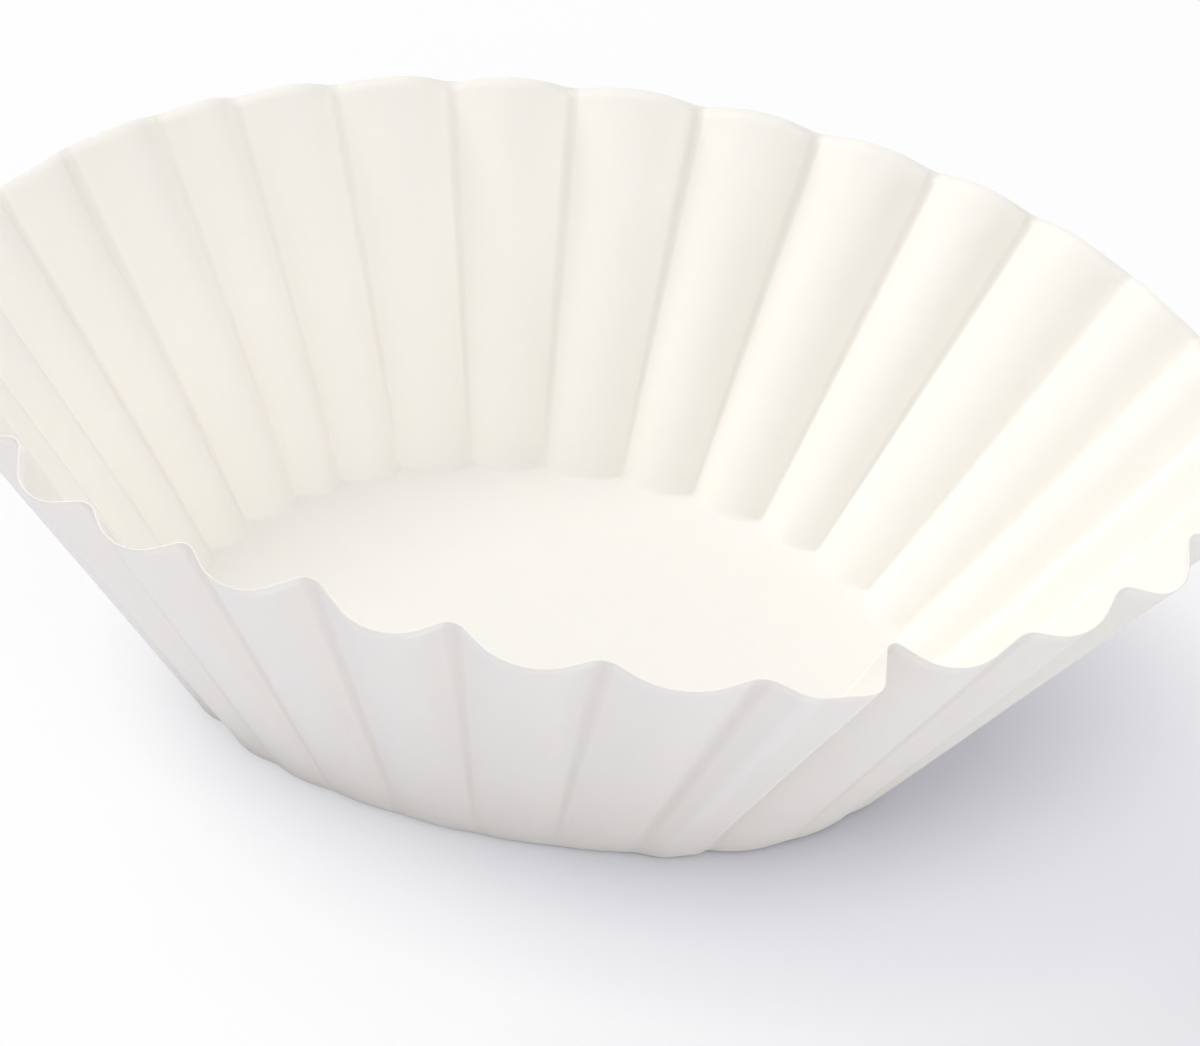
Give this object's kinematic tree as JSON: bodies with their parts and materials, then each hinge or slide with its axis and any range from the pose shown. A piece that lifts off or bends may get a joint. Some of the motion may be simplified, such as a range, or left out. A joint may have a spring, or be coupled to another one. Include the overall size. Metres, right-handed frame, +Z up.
{
  "type": "paper coffee filter",
  "caption": "Basket coffee filter of thin white paper, with a flat round base and a flared, fluted wall, open at the top.",
  "frame": {"origin": "middle of the base's underside, which rests on the table", "axes": "+Z up, out of the open mouth; +Y towards the back of the picture, with the strong pleat in front; +X to its right"},
  "size_m": [0.1883, 0.186, 0.0558],
  "materials": {
    "paper": "matte"
  },
  "bodies": {
    "root": {"filter": "paper"}
  },
  "joints": []
}
